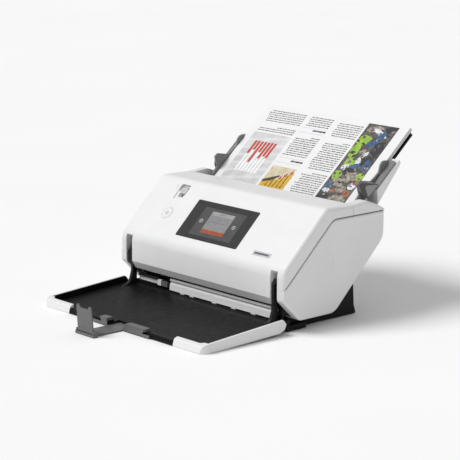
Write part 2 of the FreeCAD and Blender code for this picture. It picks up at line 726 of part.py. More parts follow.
def input_tray():
    """The fixed support: a plate into the mouth and a hollow wedge outside it."""
    plate = box(STACK, (-190, 190), (12, 120), (-3, 0))
    wedge = prism(housing_outline(0), -200, 200)
    room = prism(housing_outline(2.2), -197.8, 197.8)
    slots = [box(STACK, (-196.5, -30), (PINION_V - 13.2, PINION_V - 8.8), (-9.3, 1)),
             box(STACK, (30, 196.5), (PINION_V + 8.8, PINION_V + 13.2), (-4, 1))]
    mouth = box(STACK, (-185, 185), (170, 200), (-6.3, -2.4))
    hub = Part.makeCylinder(2.0, 12.5, Vector(0, PINION_V, -13.5))
    hub.Placement = STACK.multiply(hub.Placement)
    shell = join([wedge.cut(room), plate]).cut(slots + [mouth])
    return join([shell, hub])


def input_extension():
    """The black slide that carries the upper half of the sheets."""
    plate = box(STACK, (-181, 181), (172, 251), (-4.6, -3.0), 0)
    flanges = both(box(STACK, (181, 183.5), (172, 251), (-6.0, -2.7), 0))
    bar = box(STACK, (-183.5, 183.5), (246, 251), (-6.0, -0.3), 1)
    ribs = [box(STACK, (x - 1, x + 1), (230, 246), (-3.0, -0.3)) for x in range(-150, 151, 60)]
    return join([plate, bar] + flanges + ribs)


def guide_outline():
    """Side view of an edge guide, along and above the tray surface."""
    return [(62, 0.3), (181, 0.3, 3), (175, 11, 4), (169, 15.5, 4), (162, 15.5, 5), (150, 8, 8),
            (138, 8.6, 6), (126, 10.5, 3), (109, 31, 4), (100, 32, 4), (95, 21, 6), (92, 14, 3), (76, 12, 5)]


def edge_guide():
    """The right-hand sheet guide: upright wall with a finger slot, on a two-step slide plate."""
    turn = STACK.multiply(SIDE)
    wall = prism(guide_outline(), GUIDE_X, GUIDE_X + 3.2, turn)
    finger_slot = box(STACK, (GUIDE_X - 1, GUIDE_X + 5), (136.5, 146.5), (3.6, 6.0), 1)
    low = box(STACK, (GUIDE_X, 189.5), (62, 118), (0.3, 3.0), 0)
    high = prism([(GUIDE_X, 117.5), (199.3, 117.5), (199.3, 182.5, 4), (GUIDE_X, 182.5)], 0.3, 3.4, STACK)
    return join([wall.cut(finger_slot), low, high])


def guide_stem():
    """The post under the right-hand guide that passes through the tray to its rack."""
    v = PINION_V + 11
    return box(STACK, (184.5, 188.5), (v - 1.8, v + 1.8), (-11.0, 0.4), 0)


def half_turn(shape):
    """The shape turned by half a turn about the pinion's axis."""
    copy = shape.copy()
    centre = STACK.multVec(Vector(0, PINION_V, 0))
    copy.rotate(centre, STACK.Rotation.multVec(Vector(0, 0, 1)), 180)
    return copy


def guide_pair():
    """Both guides. The left one's stem and rack are the right one's, turned about the pinion."""
    wall = edge_guide()
    stem = guide_stem()
    rack = guide_rack()
    right = group([join([wall, stem]), rack])
    left = group([join([mirror(wall), half_turn(stem)]), half_turn(rack)])
    return right, left


def tooth():
    """One coarse tooth that leaves room to run."""
    m = RACK_MODULE
    return [(-0.85 * m, -1.15 * m), (0.85 * m, -1.15 * m), (0.30 * m, 0.85 * m), (-0.30 * m, 0.85 * m)]


def guide_rack():
    """The right-hand toothed bar that joins its guide to the centre pinion."""
    m = RACK_MODULE
    pitch = math.pi * m
    radius = m * PINION_TEETH / 2
    line = PINION_V + radius
    bar = box(STACK, (-30, 190), (line + 1.15 * m, PINION_V + 13), (-12.2, -9.6), 0)
    teeth = []
    for index in range(-6, 39):
        x = (index + 0.5) * pitch
        points = [(x + dx, line - dy) for dx, dy in tooth()]
        teeth.append(prism(points[::-1], -12.2, -9.6, STACK))
    rack = join([bar] + teeth)
    return rack.cut(box(STACK, (184.4, 188.6), (PINION_V + 9.1, PINION_V + 12.9), (-11.1, 0), 0))


def guide_pinion():
    m = RACK_MODULE
    radius = m * PINION_TEETH / 2
    wheel = Part.makeCylinder(radius - 1.1 * m, 2.6, Vector(0, 0, -12.2))
    teeth = []
    for index in range(PINION_TEETH):
        points = [(dx, radius + dy) for dx, dy in tooth()]
        piece = prism(points, -12.2, -9.6, FLAT)
        piece.rotate(Vector(), Vector(0, 0, 1), 360.0 / PINION_TEETH * index)
        teeth.append(piece)
    gear = join([wheel] + teeth).cut(Part.makeCylinder(2.0 + RUN, 8, Vector(0, 0, -14)))
    gear.translate(Vector(0, PINION_V, 0))
    gear.Placement = STACK.multiply(gear.Placement)
    return gear


def paper_stack():
    return box(STACK, (-STACK_HALF, STACK_HALF), (1.0, STACK_LENGTH), (SHEET_LIFT, STACK_THICK), 0)


# Assembly ------------------------------------------------------------------

def all_pieces():
    pieces = {
        "base_stand": base_stand(), "rubber_feet": rubber_feet(), "bottom_cover": bottom_cover(),
        "rear_cover": rear_cover(), "rear_top_cover": rear_top_cover(), "rear_screws": rear_screws(),
        "shaft_bushings": shaft_bushings(), "lower_chassis": lower_chassis(), "main_board": main_board(),
        "lower_paper_guide": lower_paper_guide(), "exit_guide": exit_guide(), "power_inlet": power_inlet(),
        "usb_port": usb_port(), "drive_belt": drive_belt(), "cover_hinge_pins": cover_hinge_pins(),
        "front_cover": front_cover(), "control_panel": control_panel(), "display_screen": display_screen(),
        "panel_board": panel_board(), "label_plate": label_plate(), "power_button": power_button(),
        "separation_lever": separation_lever(), "upper_chassis": upper_chassis(),
        "upper_paper_guide": upper_paper_guide(), "mouth_panel": mouth_panel(),
        "output_tray_pan": output_tray_pan(), "extension_blocks": extension_blocks(),
        "output_extension": output_extension(), "stopper_flap": stopper_flap(), "tray_pins": tray_pins(),
        "input_tray": input_tray(), "input_extension": input_extension(), "guide_pinion": guide_pinion(),
        "paper_stack": paper_stack(), "feed_motor": feed_motor(), "motor_pulley": flanged_pulley(MOTOR_AXIS),
        "side_plugs": group(both(side_plug())), "slot_posts": group(both(slot_post())),
        "tray_arms": group(both(tray_arm())), "tray_side_trim": group(both(tray_cap()) + both(tray_skirt())),
    }
    pieces["lower_scan_sensor"], pieces["lower_scan_glass"] = sensor(-1)
    pieces["upper_scan_sensor"], pieces["upper_scan_glass"] = sensor(1)
    powered = {"exit": drive_set(EXIT_AXIS), "transport": drive_set(TRANSPORT_AXIS),
               "feed": drive_set(FEED_AXIS, 22, (-13, 13))}
    for name, (shaft, sleeves, pulley) in powered.items():
        pieces[name + "_shaft"] = group([shaft, pulley])
        pieces[name + "_rollers"] = sleeves
    for name, s in (("exit_pinch", EXIT_S), ("transport_pinch", TRANSPORT_S)):
        pieces[name + "_shaft"], pieces[name + "_rollers"] = pinch_set(PINCH_AXES[s])
    pieces["separation_shaft"], pieces["separation_roller"] = separation_set()
    pieces["right_side_panel"] = side_panel()
    pieces["left_side_panel"] = mirror(side_panel())
    pieces["right_edge_guide"], pieces["left_edge_guide"] = guide_pair()
    return pieces


def write():
    os.makedirs("parts", exist_ok=True)
    for name, shape in all_pieces().items():
        shape.translate(Vector(0, -DEPTH_CENTRE, 0))
        shape.exportStep("parts/%s.step" % name)
        print(name, shape.isValid(), round(shape.Volume, 1), len(shape.Solids))


write()
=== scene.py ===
import json
import math
import random

import bpy
from mathutils import Matrix, Vector


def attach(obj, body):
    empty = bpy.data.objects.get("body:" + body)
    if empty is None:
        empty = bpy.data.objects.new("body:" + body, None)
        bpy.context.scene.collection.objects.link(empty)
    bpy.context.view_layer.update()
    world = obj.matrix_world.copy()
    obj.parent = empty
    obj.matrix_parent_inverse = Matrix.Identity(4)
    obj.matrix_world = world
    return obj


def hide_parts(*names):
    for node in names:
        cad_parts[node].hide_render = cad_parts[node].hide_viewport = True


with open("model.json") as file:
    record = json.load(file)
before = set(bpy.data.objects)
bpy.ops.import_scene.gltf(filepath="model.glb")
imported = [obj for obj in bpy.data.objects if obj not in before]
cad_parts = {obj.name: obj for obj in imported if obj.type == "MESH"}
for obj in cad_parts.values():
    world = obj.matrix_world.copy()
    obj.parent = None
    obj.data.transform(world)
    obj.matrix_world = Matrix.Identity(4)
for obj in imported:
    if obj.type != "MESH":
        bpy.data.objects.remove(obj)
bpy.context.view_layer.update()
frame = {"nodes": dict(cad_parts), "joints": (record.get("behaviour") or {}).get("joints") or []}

MM = 0.001
SIDEWAYS = Vector((1, 0, 0))


# Places -------------------------------------------------------------------

def joint(name):
    """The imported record's row for one joint."""
    return next(row for row in frame["joints"] if row["name"] == name)


class Plane:
    """A flat region of one CAD node: x sideways, v along it and w out of it, all in millimetres.

    v counts from the node's lower edge and w from its outer face, which stand at low and outer.
    """

    def __init__(self, node, along, low=0.0, outer=0.0):
        self.along = Vector(along).normalized()
        self.out = SIDEWAYS.cross(self.along).normalized()
        points = [vertex.co for vertex in frame["nodes"][node].data.vertices]
        reach = [point.dot(self.along) for point in points]
        level = [point.dot(self.out) for point in points]
        self.length = (max(reach) - min(reach)) / MM
        self.depth = (max(level) - min(level)) / MM
        self.start = min(reach) - low * MM
        self.face = max(level) - outer * MM
        self.half = max(point.x for point in points) / MM

    def at(self, x, v, w=0.0):
        return (SIDEWAYS * (x * MM) + self.along * (self.start + v * MM)
                + self.out * (self.face + w * MM))


UP_THE_FACE = joint("separation_slide")["axis"]
UP_THE_STACK = joint("stack_lift")["axis"]
BEZEL_TOP = 0.9
GUIDE_LOW = 62.0
GUIDE_TOP = 32.0
EXIT_LOW = 18.9
EXIT_FRONT = -13.2

# FACE counts w from the cover's face. EXIT counts v from the table.
FACE = Plane("control_panel", UP_THE_FACE, 0.0, BEZEL_TOP)
RIGHT_GUIDE = Plane("right_edge_guide", UP_THE_STACK, GUIDE_LOW, GUIDE_TOP)
LEFT_GUIDE = Plane("left_edge_guide", UP_THE_STACK, GUIDE_LOW, GUIDE_TOP)
EXIT = Plane("exit_guide", (0, 0, 1), EXIT_LOW, EXIT_FRONT)
PAGE = Plane("paper_stack", UP_THE_STACK)


# Materials ----------------------------------------------------------------

def shader(name):
    """A new material and short cuts to its nodes."""
    material = bpy.data.materials.new(name)
    material.use_nodes = True
    nodes = material.node_tree.nodes
    links = material.node_tree.links
    surface = nodes["Principled BSDF"]
    place = nodes.new("ShaderNodeTexCoord").outputs["Object"]
    return material, nodes, links, surface, place


def noise(nodes, links, place, size_mm, detail=2.0, stretch=None):
    """Noise whose features are about size_mm wide, longer along one axis if stretched."""
    if stretch:
        mapping = nodes.new("ShaderNodeMapping")
        mapping.inputs["Scale"].default_value = stretch
        links.new(place, mapping.inputs["Vector"])
        place = mapping.outputs["Vector"]
    texture = nodes.new("ShaderNodeTexNoise")
    texture.inputs["Scale"].default_value = 1.0 / (size_mm * MM)
    texture.inputs["Detail"].default_value = detail
    links.new(place, texture.inputs["Vector"])
    return texture.outputs["Fac"]


def tint(nodes, links, factor, dark, light, low=0.35, high=0.65):
    ramp = nodes.new("ShaderNodeValToRGB")
    ramp.color_ramp.elements[0].position = low
    ramp.color_ramp.elements[0].color = (*dark, 1)
    ramp.color_ramp.elements[1].position = high
    ramp.color_ramp.elements[1].color = (*light, 1)
    links.new(factor, ramp.inputs["Fac"])
    return ramp.outputs["Color"]


def spread(nodes, links, factor, low, high):
    ranged = nodes.new("ShaderNodeMapRange")
    ranged.inputs["From Min"].default_value = 0.3
    ranged.inputs["From Max"].default_value = 0.7
    ranged.inputs["To Min"].default_value = low
    ranged.inputs["To Max"].default_value = high
    links.new(factor, ranged.inputs["Value"])
    return ranged.outputs["Result"]


def relief(nodes, links, surface, height, strength, distance_mm):
    bump = nodes.new("ShaderNodeBump")
    bump.inputs["Strength"].default_value = strength
    bump.inputs["Distance"].default_value = distance_mm * MM
    links.new(height, bump.inputs["Height"])
    links.new(bump.outputs["Normal"], surface.inputs["Normal"])


def shade(colour, factor):
    return tuple(min(1.0, channel * factor) for channel in colour)


def moulded(name, colour, rough, grain_mm, relief_strength, cloud, coat, shine):
    """Injection moulded plastic: spark-eroded grain, slight clouding and uneven gloss."""
    material, nodes, links, surface, place = shader(name)
    cloudy = noise(nodes, links, place, 38, 3)
    links.new(tint(nodes, links, cloudy, shade(colour, 1 - cloud), shade(colour, 1 + cloud)),
              surface.inputs["Base Color"])
    worn = noise(nodes, links, place, 9, 4)
    links.new(spread(nodes, links, worn, rough - 0.05, rough + 0.05), surface.inputs["Roughness"])
    grain = noise(nodes, links, place, grain_mm, 2)
    relief(nodes, links, surface, grain, relief_strength, 0.03)
    surface.inputs["Coat Weight"].default_value = coat
    surface.inputs["Coat Roughness"].default_value = 0.12
    surface.inputs["Specular IOR Level"].default_value = shine
    return material


def brushed(name, colour, rough, stretch):
    """Metal with fine lines along one axis."""
    material, nodes, links, surface, place = shader(name)
    lines = noise(nodes, links, place, 0.5, 3, stretch)
    links.new(tint(nodes, links, lines, shade(colour, 0.85), colour), surface.inputs["Base Color"])
    links.new(spread(nodes, links, lines, rough - 0.06, rough + 0.08), surface.inputs["Roughness"])
    relief(nodes, links, surface, lines, 0.12, 0.02)
    surface.inputs["Metallic"].default_value = 1.0
    return material


def rubbery(name, colour, rough=0.75):
    """Soft rubber: dull, dusty and finely ground."""
    material, nodes, links, surface, place = shader(name)
    dust = noise(nodes, links, place, 5, 5)
    links.new(tint(nodes, links, dust, colour, shade(colour, 1.5)), surface.inputs["Base Color"])
    links.new(spread(nodes, links, dust, rough - 0.08, rough + 0.1), surface.inputs["Roughness"])
    relief(nodes, links, surface, noise(nodes, links, place, 0.3, 3), 0.4, 0.05)
    return material


def glassy(name, colour, rough=0.06):
    """A dark smooth window with a trace of smear in its gloss."""
    material, nodes, links, surface, place = shader(name)
    smear = noise(nodes, links, place, 14, 3)
    links.new(tint(nodes, links, smear, shade(colour, 0.94), shade(colour, 1.06)),
              surface.inputs["Base Color"])
    links.new(spread(nodes, links, smear, rough, rough + 0.08), surface.inputs["Roughness"])
    surface.inputs["Coat Weight"].default_value = 0.4
    surface.inputs["Coat Roughness"].default_value = 0.05
    return material


def board():
    """Green solder mask over a faint grid of copper."""
    material, nodes, links, surface, place = shader("circuit_board")
    bricks = nodes.new("ShaderNodeTexBrick")
    bricks.inputs["Scale"].default_value = 160
    bricks.inputs["Mortar Size"].default_value = 0.03
    bricks.inputs["Color1"].default_value = (0.02, 0.13, 0.05, 1)
    bricks.inputs["Color2"].default_value = (0.03, 0.17, 0.07, 1)
    bricks.inputs["Mortar"].default_value = (0.08, 0.30, 0.12, 1)
    links.new(place, bricks.inputs["Vector"])
    links.new(bricks.outputs["Color"], surface.inputs["Base Color"])
    relief(nodes, links, surface, bricks.outputs["Fac"], 0.3, 0.05)
    surface.inputs["Roughness"].default_value = 0.35
    return material


def printed(name, colour, patch_mm=6.0, contrast=0.05, rough=0.35):
    """Ink on coated paper: its tone wanders a little, and much more in a picture."""
    material, nodes, links, surface, place = shader(name)
    tone = noise(nodes, links, place, patch_mm, 4)
    links.new(tint(nodes, links, tone, shade(colour, 1 - contrast), shade(colour, 1 + contrast)),
              surface.inputs["Base Color"])
    links.new(spread(nodes, links, tone, rough, rough + 0.1), surface.inputs["Roughness"])
    return material


def glowing(name, colour, strength):
    """A lit part of the display."""
    material = printed(name, colour, 9, 0.04, 0.2)
    surface = material.node_tree.nodes["Principled BSDF"]
    surface.inputs["Emission Color"].default_value = (*colour, 1)
    surface.inputs["Emission Strength"].default_value = strength
    return material


# Moulded plastics: name, colour, roughness, grain in mm, relief, clouding, coat, shine.
WHITE = moulded("white_shell", (0.78, 0.78, 0.785), 0.42, 0.6, 0.18, 0.012, 0.0, 0.4)
DARK = moulded("dark_plastic", (0.005, 0.005, 0.0055), 0.5, 0.7, 0.35, 0.12, 0.0, 0.18)
TRAY_BLACK = moulded("tray_black", (0.0045, 0.0045, 0.005), 0.45, 0.9, 0.45, 0.15, 0.0, 0.15)
GREY = moulded("grey_plastic", (0.13, 0.13, 0.132), 0.4, 0.5, 0.2, 0.06, 0.0, 0.4)
ARM_GREY = moulded("arm_grey", (0.014, 0.014, 0.0145), 0.45, 0.5, 0.2, 0.06, 0.0, 0.25)
GUIDE_GREY = moulded("guide_grey", (0.20, 0.20, 0.204), 0.4, 0.5, 0.2, 0.06, 0.0, 0.4)
# Two copies of the guide grey for the flared web: a darker one as painted shade on its outer face, a lighter
# one as painted light on a field of that face.
FLARE_PAINTED_SHADE = moulded("flare_painted_shade", (0.09, 0.09, 0.092), 0.4, 0.5, 0.2, 0.06, 0.0, 0.4)
FLARE_PAINTED_LIGHT = moulded("flare_painted_light", (0.30, 0.30, 0.305), 0.45, 0.5, 0.2, 0.04, 0.0, 0.4)
PALE = moulded("pale_plastic", (0.74, 0.74, 0.745), 0.45, 0.5, 0.2, 0.02, 0.0, 0.4)
KNOB = moulded("knob_plastic", (0.55, 0.55, 0.555), 0.45, 0.5, 0.2, 0.02, 0.0, 0.4)
BEZEL = moulded("bezel_plastic", (0.016, 0.016, 0.017), 0.36, 0.4, 0.1, 0.05, 0.05, 0.3)
SEAM_SHADOW = moulded("seam_shadow", (0.05, 0.05, 0.052), 0.6, 0.5, 0.1, 0.05, 0.0, 0.2)
SCREEN = glassy("screen", (0.062, 0.062, 0.064), 0.14)
LENS = glassy("sensor_glass", (0.05, 0.06, 0.06), 0.03)
STEEL = brushed("steel", (0.62, 0.62, 0.63), 0.3, (0.05, 1, 1))
LABEL = brushed("label_metal", (0.50, 0.50, 0.52), 0.35, (0.05, 1, 1))
RUBBER = rubbery("rubber", (0.022, 0.022, 0.022))
BOARD = board()
PAPER = printed("paper", (0.80, 0.80, 0.805), 30, 0.01, 0.5)

FINISHES = {
    "white_shell": WHITE, "dark_plastic": DARK, "grey_plastic": GREY, "pale_plastic": PALE,
    "bezel_plastic": BEZEL, "screen": SCREEN, "sensor_glass": LENS, "steel": STEEL,
    "rubber": RUBBER, "circuit_board": BOARD, "label_metal": LABEL, "paper": PAPER,
}


def finish_frame():
    """Every CAD node gets the finish that its packed material slot names."""
    special = {
        "output_tray_pan": TRAY_BLACK, "left_edge_guide": GUIDE_GREY, "right_edge_guide": GUIDE_GREY,
        "tray_arms": ARM_GREY, "separation_lever": KNOB, "upper_paper_guide": PALE,
    }
    for name, node in frame["nodes"].items():
        packed = node.data.materials[0].name.split(".")[0]
        finish = special.get(name) or FINISHES[packed]
        for index in range(len(node.data.materials)):
            node.data.materials[index] = finish


finish_frame()


# Mesh building ------------------------------------------------------------

class Piece:
    """A mesh under construction, made of flat polygons and prisms on a plane."""

    def __init__(self, name):
        self.name = name
        self.points = []
        self.faces = []
        self.finishes = []
        self.marks = []

    def polygon(self, points, finish):
        if finish not in self.finishes:
            self.finishes.append(finish)
        first = len(self.points)
        self.points.extend(points)
        self.faces.append(tuple(range(first, first + len(points))))
        self.marks.append(self.finishes.index(finish))

    def decal(self, plane, outline, w, finish):
        """A flat polygon on the plane, at height w."""
        self.polygon([plane.at(x, v, w) for x, v in outline], finish)

    def prism(self, plane, outline, low, high, finish):
        """A closed solid that stands on the plane."""
        if finish not in self.finishes:
            self.finishes.append(finish)
        first = len(self.points)
        count = len(outline)
        self.points.extend(plane.at(x, v, low) for x, v in outline)
        self.points.extend(plane.at(x, v, high) for x, v in outline)
        mark = self.finishes.index(finish)
        self.faces.append(tuple(first + count + i for i in range(count)))
        self.faces.append(tuple(first + count - 1 - i for i in range(count)))
        self.marks.extend([mark, mark])
        for i in range(count):
            j = (i + 1) % count
            self.faces.append((first + i, first + j, first + count + j, first + count + i))
            self.marks.append(mark)

    def done(self, body, round_mm=0.0):
        mesh = bpy.data.meshes.new(self.name)
        mesh.from_pydata(self.points, [], self.faces)
        for finish in self.finishes:
            mesh.materials.append(finish)
        for face, mark in zip(mesh.polygons, self.marks):
            face.material_index = mark
        mesh.validate()
        piece = bpy.data.objects.new(self.name, mesh)
        bpy.context.scene.collection.objects.link(piece)
        if round_mm:
            bevel = piece.modifiers.new("rounded_edges", "BEVEL")
            bevel.width = round_mm * MM
            bevel.segments = 3
            bevel.harden_normals = True
            mesh.shade_smooth()
        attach(piece, body)
        return piece


def rectangle(x0, v0, x1, v1):
    return [(x0, v0), (x1, v0), (x1, v1), (x0, v1)]


def rounded(x0, v0, x1, v1, radius, steps=5):
    """A rectangle with round corners, anticlockwise."""
    outline = []
    for turn, (x, v) in enumerate([(x1 - radius, v0 + radius), (x1 - radius, v1 - radius),
                                   (x0 + radius, v1 - radius), (x0 + radius, v0 + radius)]):
        for step in range(steps + 1):
            angle = math.radians(90 * (turn - 1 + step / steps))
            outline.append((x + radius * math.cos(angle), v + radius * math.sin(angle)))
    return outline


def arc_band(x, v, inner, outer, start, end, steps=28):
    """A flat ring sector, as a list of four-sided pieces."""
    def spot(radius, step):
        angle = math.radians(start + (end - start) * step / steps)
        return (x + radius * math.cos(angle), v + radius * math.sin(angle))
    return [[spot(inner, i), spot(outer, i), spot(outer, i + 1), spot(inner, i + 1)] for i in range(steps)]


# Loaded sheets ------------------------------------------------------------

SHEETS = 26
SHEET_GAP = 0.05


def sheet_bundle():
    """The stack as separate sheets that don't quite line up."""
    shuffle = random.Random(7)
    bundle = Piece("sheet_bundle")
    pitch = PAGE.depth / SHEETS
    for number in range(SHEETS):
        low = -PAGE.depth + number * pitch
        inset = 0.0 if number == SHEETS - 1 else shuffle.uniform(0.0, 0.5)
        slip = 0.0 if number == SHEETS - 1 else shuffle.uniform(0.0, 0.6)
        outline = rectangle(-PAGE.half + inset, slip, PAGE.half - inset, PAGE.length - slip)
        bundle.prism(PAGE, outline, low, low + pitch - SHEET_GAP, PAPER)
    piece = bundle.done("paper_stack")
    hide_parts("paper_stack")


PRINT_LEVEL = -SHEET_GAP + 0.02
PICTURE_LEVEL = -SHEET_GAP + 0.03
LINE_PITCH = 4.95
LETTER_WIDTHS = (0.8, 1.35)

# Text columns: left, right, lower edge, upper edge, and the share of the last line that is filled.
COLUMNS = [
    (-167, -69, 219, 249.5, 0.95), (-167, -69, 195, 213, 0.5),
    (-61, 2, 223, 251, 0.9), (-61, 2, 150, 200, 0.35),
    (16, 80, 209, 246, 0.95), (16, 80, 130, 203, 0.3), (16, 80, 20, 124, 0.6),
    (-61, 2, 14, 64, 0.5), (-167, -69, 14, 62, 0.7),
]
HEADINGS = [(-32, 3, 212), (-27, 3, 136.5), (-101, -76, 76)]
RULES = [(-61, 3, 218), (-61, 3, 206), (-61, 3, 143), (-61, 3, 131), (-158, -76, 83)]


def text_line(piece, left, right, v, ink, shuffle, height=1.9):
    """One line of greeked words, set from the right because the page lies head down."""
    x = right
    while x > left + 3:
        letters = shuffle.randint(2, 9)
        for _ in range(letters):
            width = shuffle.uniform(*LETTER_WIDTHS)
            if x - width < left:
                break
            low = v - (0.4 if shuffle.random() < 0.12 else 0.0)
            high = v + height * (1.2 if shuffle.random() < 0.12 else 1.0)
            piece.decal(PAGE, rectangle(x - width, low, x, high), PRINT_LEVEL, ink)
            x -= width + 0.1
        x -= 1.3


def printed_text():
    shuffle = random.Random(23)
    ink = printed("text_ink", (0.045, 0.045, 0.05), 20, 0.1, 0.5)
    rule_ink = printed("rule_ink", (0.30, 0.34, 0.50), 20, 0.05, 0.5)
    text = Piece("page_text")
    for left, right, low, high, last in COLUMNS:
        lines = int((high - low) / LINE_PITCH)
        for line in range(lines):
            start = left + shuffle.uniform(0, 5)
            if line == lines - 1:
                start = right - (right - left) * last
            text_line(text, start, right, low + line * LINE_PITCH, ink, shuffle)
    for left, right, v in HEADINGS:
        for bold in (0.0, 0.45):
            text_line(text, left, right - bold, v - bold, ink, random.Random(5), 3.2)
    for left, right, v in RULES:
        text.decal(PAGE, rectangle(left, v, right, v + 0.5), PRINT_LEVEL, rule_ink)
    text.done("paper_stack")


def blot(x, v, wide, tall, turn, shuffle, corners=11):
    """An irregular patch of colour."""
    outline = []
    for i in range(corners):
        angle = 2 * math.pi * i / corners
        reach = shuffle.uniform(0.82, 1.12)
        a = wide * reach * math.cos(angle)
        b = tall * reach * math.sin(angle)
        outline.append((x + a * math.cos(turn) - b * math.sin(turn),
                        v + a * math.sin(turn) + b * math.cos(turn)))
    return outline


def clip(outline, x0, v0, x1, v1):
    return [(min(max(x, x0), x1), min(max(v, v0), v1)) for x, v in outline]


def abstract_picture():
    """A tall colour picture of nothing in particular: lime, denim blue, stone and soil."""
    shuffle = random.Random(41)
    soil = printed("picture_soil", (0.075, 0.065, 0.058), 5, 0.8)
    lime = printed("picture_lime", (0.27, 0.46, 0.03), 6, 0.25)
    blue = printed("picture_blue", (0.03, 0.09, 0.20), 5, 0.5)
    stone = printed("picture_stone", (0.30, 0.26, 0.21), 4, 0.5)
    pale = printed("picture_pale", (0.66, 0.69, 0.73), 6, 0.2)
    shadow = printed("picture_shadow", (0.012, 0.014, 0.02), 4, 0.6)
    rust = printed("picture_rust", (0.34, 0.12, 0.06), 4, 0.4)
    x0, x1, v0, v1 = 86, 160, 14, 251
    picture = Piece("page_picture")
    picture.decal(PAGE, rectangle(x0, v0, x1, v1), PICTURE_LEVEL, soil)
    patches = [
        (110, 240, 20, 7, 0.2, stone), (128, 232, 22, 5, -0.4, pale), (147, 243, 15, 8, 0.5, shadow),
        (101, 212, 17, 13, 0.3, lime), (124, 205, 11, 7, -0.2, blue), (133, 222, 8, 16, -0.3, blue),
        (98, 186, 12, 20, 0.1, lime), (146, 196, 13, 18, 0.2, shadow), (118, 187, 8, 6, 0.2, stone),
        (126, 172, 7, 16, -0.3, pale), (138, 168, 11, 12, 0.2, shadow), (148, 158, 9, 14, 0.4, blue),
        (106, 160, 14, 11, 0.4, lime), (103, 147, 9, 7, 0.0, pale), (126, 150, 12, 8, 0.6, blue),
        (119, 138, 14, 9, -0.3, shadow), (98, 128, 11, 11, 0.2, lime), (131, 127, 15, 13, 0.3, stone),
        (151, 131, 9, 10, 0.2, lime), (112, 112, 14, 9, -0.2, stone), (148, 108, 9, 8, 0.0, pale),
        (97, 105, 10, 7, 0.4, blue), (129, 99, 13, 8, 0.2, stone), (152, 118, 7, 6, 0.2, rust),
        (99, 92, 9, 5, 0.0, pale), (114, 94, 6, 5, 0.2, rust), (146, 92, 10, 7, -0.2, rust),
        (100, 77, 13, 9, 0.2, shadow), (137, 78, 19, 8, 0.0, stone), (120, 50, 26, 14, 0.2, stone),
        (104, 30, 14, 9, 0.2, lime), (145, 34, 12, 12, 0.1, blue),
    ]
    for order, (x, v, wide, tall, turn, ink) in enumerate(patches):
        outline = clip(blot(x, v, wide, tall, turn, shuffle, 15), x0, v0, x1, v1)
        picture.decal(PAGE, outline, PICTURE_LEVEL + 0.0015 * (order + 1), ink)
        for _ in range(3):
            flake = clip(blot(x + shuffle.uniform(-wide, wide) * 0.7, v + shuffle.uniform(-tall, tall) * 0.7,
                              wide * 0.28, tall * 0.22, shuffle.uniform(-1, 1), shuffle, 9), x0, v0, x1, v1)
            tone = shuffle.choice([stone, shadow, soil])
            picture.decal(PAGE, flake, PICTURE_LEVEL + 0.0015 * (order + 1) + 0.0007, tone)
    picture.done("paper_stack")


def printed_chart():
    """A grey panel with hanging bars, and below them their empty lower parts."""
    panel = printed("chart_panel", (0.60, 0.60, 0.61), 24, 0.10)
    streak = printed("chart_streak", (0.68, 0.68, 0.69), 24, 0.06)
    red = printed("chart_red", (0.50, 0.035, 0.012), 5, 0.12)
    white = printed("chart_white", (0.86, 0.86, 0.86), 20, 0.02)
    chart = Piece("page_chart")
    left, right, low, high = -166, -68, 71, 190
    chart.decal(PAGE, rectangle(left, low, right, high), PICTURE_LEVEL, panel)
    for start in range(int(low), int(high) - 20, 19):
        band = [(left, start), (right, start + 16), (right, start + 24), (left, start + 6)]
        chart.decal(PAGE, clip(band, left, low, right, high), PICTURE_LEVEL + 0.004, streak)
    for number, foot in enumerate((138, 148, 118, 145, 130, 137, 134)):
        x = -147 + number * 8.7
        chart.decal(PAGE, rounded(x, foot, x + 6.0, 170, 2.0), PICTURE_LEVEL + 0.01, red)
        chart.decal(PAGE, rectangle(x + 0.3, 96, x + 5.3, foot - 2), PICTURE_LEVEL + 0.01, white)
    chart.done("paper_stack")


def printed_photo():
    """A small picture: a bright yellow front under a pale sky, with a striped beam across it."""
    sky = printed("photo_sky", (0.62, 0.55, 0.38), 9, 0.12)
    yellow = printed("photo_yellow", (0.62, 0.37, 0.012), 7, 0.16)
    black = printed("photo_black", (0.05, 0.035, 0.01), 4, 0.3)
    red = printed("photo_red", (0.50, 0.02, 0.015), 4, 0.12)
    white = printed("photo_white", (0.80, 0.76, 0.70), 4, 0.06)
    photo = Piece("page_photo")
    left, right, low, high = -61, 3, 71, 122
    level = PICTURE_LEVEL
    photo.decal(PAGE, rectangle(left, low, right, high), level, sky)
    photo.decal(PAGE, [(left, low), (right, low), (right, 117), (-40, 90), (left, 84)], level + 0.004, yellow)
    beam = [(left, 82), (-40, 88), (-26, 100), (-28, 103), (-46, 95), (left, 88)]
    photo.decal(PAGE, beam, level + 0.006, black)
    for number in range(7):
        x = -30 + number * 4.9
        lift = number * 3.7
        ink = red if number % 2 else white
        photo.decal(PAGE, [(x, 89 + lift), (x + 4.9, 92.7 + lift), (x + 4.9, 99.7 + lift), (x, 96 + lift)],
                    level + 0.008, ink)
    for number in range(5):
        x = -46 + number * 9.5
        top = 84 + number * 7.2
        photo.decal(PAGE, rectangle(x, low + 3, x + 2.0, top), level + 0.008, black)
    photo.done("paper_stack")


sheet_bundle()
printed_text()
abstract_picture()
printed_chart()
printed_photo()


# Display, lever and marks on the front face ---------------------------------

GLASS_LEVEL = 0.8
DISPLAY_KEYS = [(-41, 38.7), (43.5, 39.2)]


